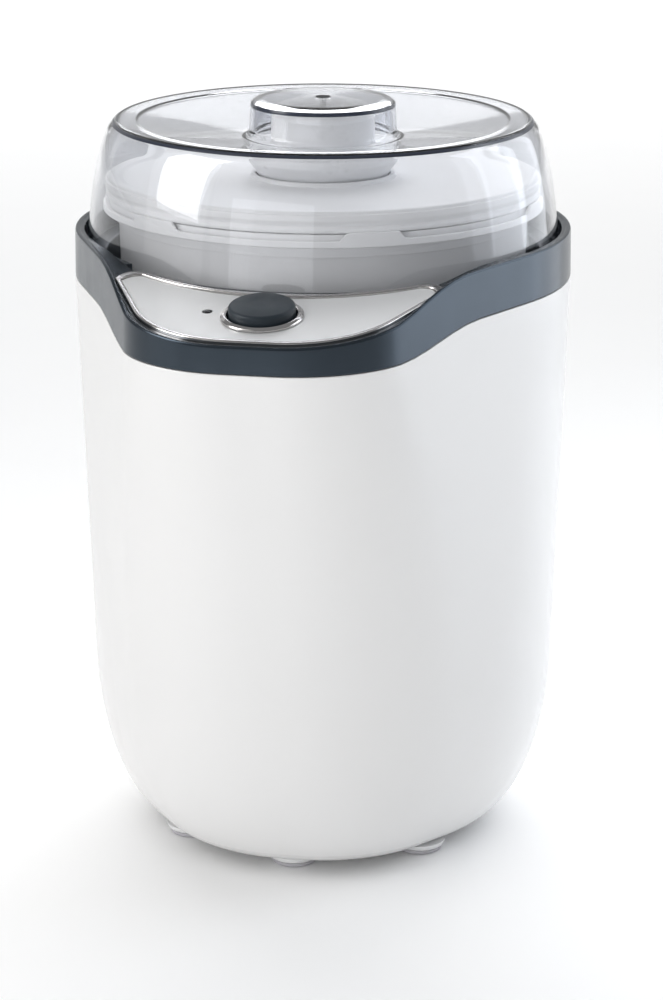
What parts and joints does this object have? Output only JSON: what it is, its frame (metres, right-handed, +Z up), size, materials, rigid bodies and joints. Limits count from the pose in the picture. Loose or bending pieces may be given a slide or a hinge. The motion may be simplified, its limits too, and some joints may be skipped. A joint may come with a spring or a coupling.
{
  "type": "ice cream maker",
  "caption": "Tall tapered freezer-bowl ice cream maker with a clear domed lid, dark collar, sloped front panel with a round button, turning bowl, still paddle and geared motor.",
  "frame": {"origin": "on the ground under the middle of the housing's outline", "axes": "+Z up, control panel towards -Y, +X to the right of someone facing the panel"},
  "size_m": [0.2148, 0.2656, 0.3256],
  "materials": {
    "white_gloss": "gloss moulded plastic",
    "white_satin": "satin moulded plastic",
    "slate": "glossy dark metallic coat",
    "panel_grey": "satin silver coat",
    "chrome": "polished",
    "rubber": "soft matt",
    "steel": "plain zinc-plated",
    "black_plastic": "matt black moulded plastic",
    "board_green": "coated board",
    "lens_dark": "clear dark lens",
    "grey_plastic": "matt moulded plastic",
    "charcoal": "dark satin moulded plastic",
    "brass": "turned",
    "acetal": "waxy moulded plastic",
    "copper": "enamelled copper windings on a steel core",
    "gel_blue": "sealed freezing gel",
    "aluminium": "satin",
    "clear_frosted": "lightly frosted clear plastic",
    "cloudy_white": "translucent white plastic",
    "clear_smoke": "clear plastic"
  },
  "bodies": {
    "housing": {"body_shell": "white_gloss", "base_plate": "white_satin", "foot_1": "white_satin", "foot_2": "white_satin", "foot_3": "white_satin", "foot_4": "white_satin", "foot_5": "white_satin", "foot_6": "white_satin", "collar": "slate", "control_panel": "panel_grey", "panel_trim": "chrome", "button_ring": "chrome", "cord_grommet": "rubber", "foot_pad_1": "rubber", "foot_pad_2": "rubber", "foot_pad_3": "rubber", "foot_pad_4": "rubber", "foot_pad_5": "rubber", "foot_pad_6": "rubber", "button_spring": "steel", "idler_pin": "steel", "motor_can": "steel", "base_screw_1": "steel", "base_screw_2": "steel", "base_screw_3": "steel", "base_screw_4": "steel", "gearbox_screw_1": "steel", "gearbox_screw_2": "steel", "gearbox_screw_3": "steel", "motor_screw_1": "steel", "motor_screw_2": "steel", "power_switch": "black_plastic", "gearbox_case": "black_plastic", "motor_cap": "black_plastic", "circuit_board": "board_green", "indicator_lens": "lens_dark", "inner_well": "charcoal", "drive_bush": "brass"},
    "button": {"power_button": "slate"},
    "turntable": {"turntable": "acetal", "output_gear": "acetal"},
    "idler": {"idler_gear": "acetal"},
    "rotor": {"motor_rotor": "copper", "motor_pinion": "brass"},
    "paddle": {"paddle": "grey_plastic"},
    "bowl": {"bowl_shell": "white_satin", "coolant_core": "gel_blue", "bowl_pot": "aluminium", "bowl_rim": "white_satin"},
    "inner_lid": {"inner_lid": "clear_frosted", "paddle_socket": "cloudy_white"},
    "dome": {"dome_lid": "clear_smoke", "knob_screw": "black_plastic"}
  },
  "joints": [
    {"name": "power_press", "type": "slide", "parent": "housing", "child": "button", "axis": [0, 0.165, -0.9863], "range_m": [0, 0.0025], "stiffness_N_per_m": 400, "springref_m": -0.001, "deforming": ["button_spring"]},
    {"name": "bowl_lift", "type": "slide", "parent": "housing", "child": "paddle", "axis": [0, 0, 1], "range_m": [0, 0.2]},
    {"name": "bowl_spin", "type": "hinge", "parent": "paddle", "child": "bowl", "pos_m": [0, 0.02525, 0.2], "axis": [0, 0, 1], "continuous": true},
    {"name": "turntable_spin", "type": "hinge", "parent": "housing", "child": "turntable", "pos_m": [0, 0.02525, 0.1], "axis": [0, 0, 1], "continuous": true},
    {"name": "idler_spin", "type": "hinge", "parent": "housing", "child": "idler", "pos_m": [0.02314, 0.05283, 0.08], "axis": [0, 0, 1], "continuous": true},
    {"name": "rotor_spin", "type": "hinge", "parent": "housing", "child": "rotor", "pos_m": [0, 0.06468, 0.05], "axis": [0, 0, 1], "continuous": true},
    {"name": "lid_lift", "type": "slide", "parent": "paddle", "child": "inner_lid", "axis": [0, 0, 1], "range_m": [0, 0.1]},
    {"name": "lid_turn", "type": "hinge", "parent": "inner_lid", "child": "dome", "pos_m": [0, 0.02525, 0.3], "axis": [0, 0, -1], "range_deg": [0, 12]}
  ],
  "couplings": [
    {"joint": "turntable_spin", "follows": "bowl_spin", "ratio": 1},
    {"joint": "idler_spin", "follows": "bowl_spin", "ratio": -3},
    {"joint": "rotor_spin", "follows": "bowl_spin", "ratio": 10}
  ]
}
